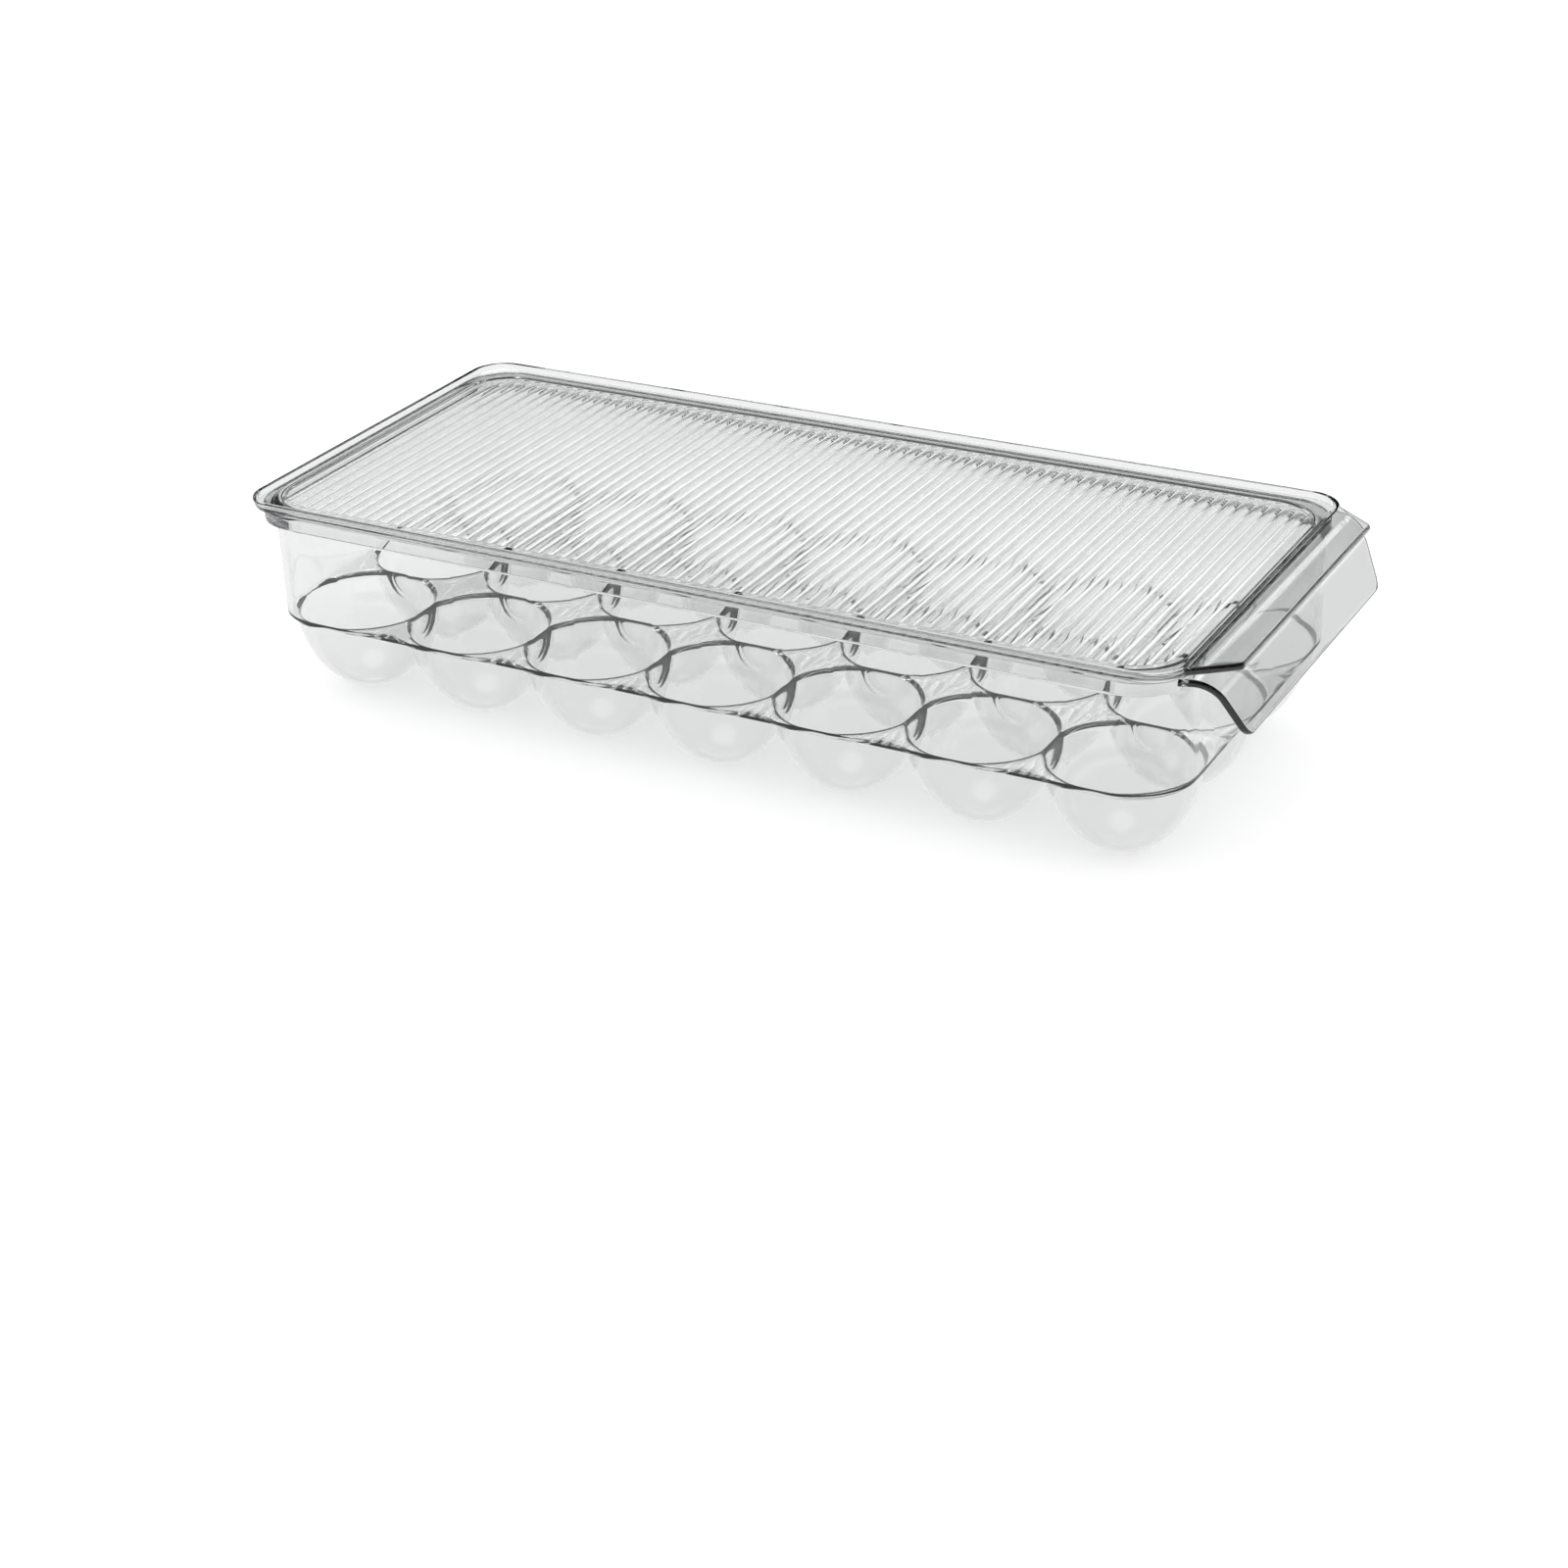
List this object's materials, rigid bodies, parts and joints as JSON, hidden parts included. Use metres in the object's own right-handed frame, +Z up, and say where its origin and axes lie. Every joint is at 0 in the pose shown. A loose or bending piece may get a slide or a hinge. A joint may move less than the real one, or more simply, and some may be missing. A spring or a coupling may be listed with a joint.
{
  "type": "refrigerator egg keeper",
  "caption": "Clear plastic egg tray of round cups with tall walls, a pull handle at one end and a lift-off ribbed lid.",
  "frame": {"origin": "under the middle cup, at the centre of its small flat foot, on the plane that the keeper rests on", "axes": "+X along the length towards the pull handle, +Y across the width, +Z up"},
  "size_m": [0.357, 0.1556, 0.0756],
  "materials": {
    "tray_plastic": "clear, faintly grey, polished",
    "lid_plastic": "clear, faintly grey, polished"
  },
  "bodies": {
    "tray": {"tray": "tray_plastic"},
    "lid": {"lid": "lid_plastic"}
  },
  "joints": [
    {"name": "lid_lift", "type": "slide", "parent": "tray", "child": "lid", "axis": [0, 0, 1], "range_m": [0, 0.06]}
  ]
}
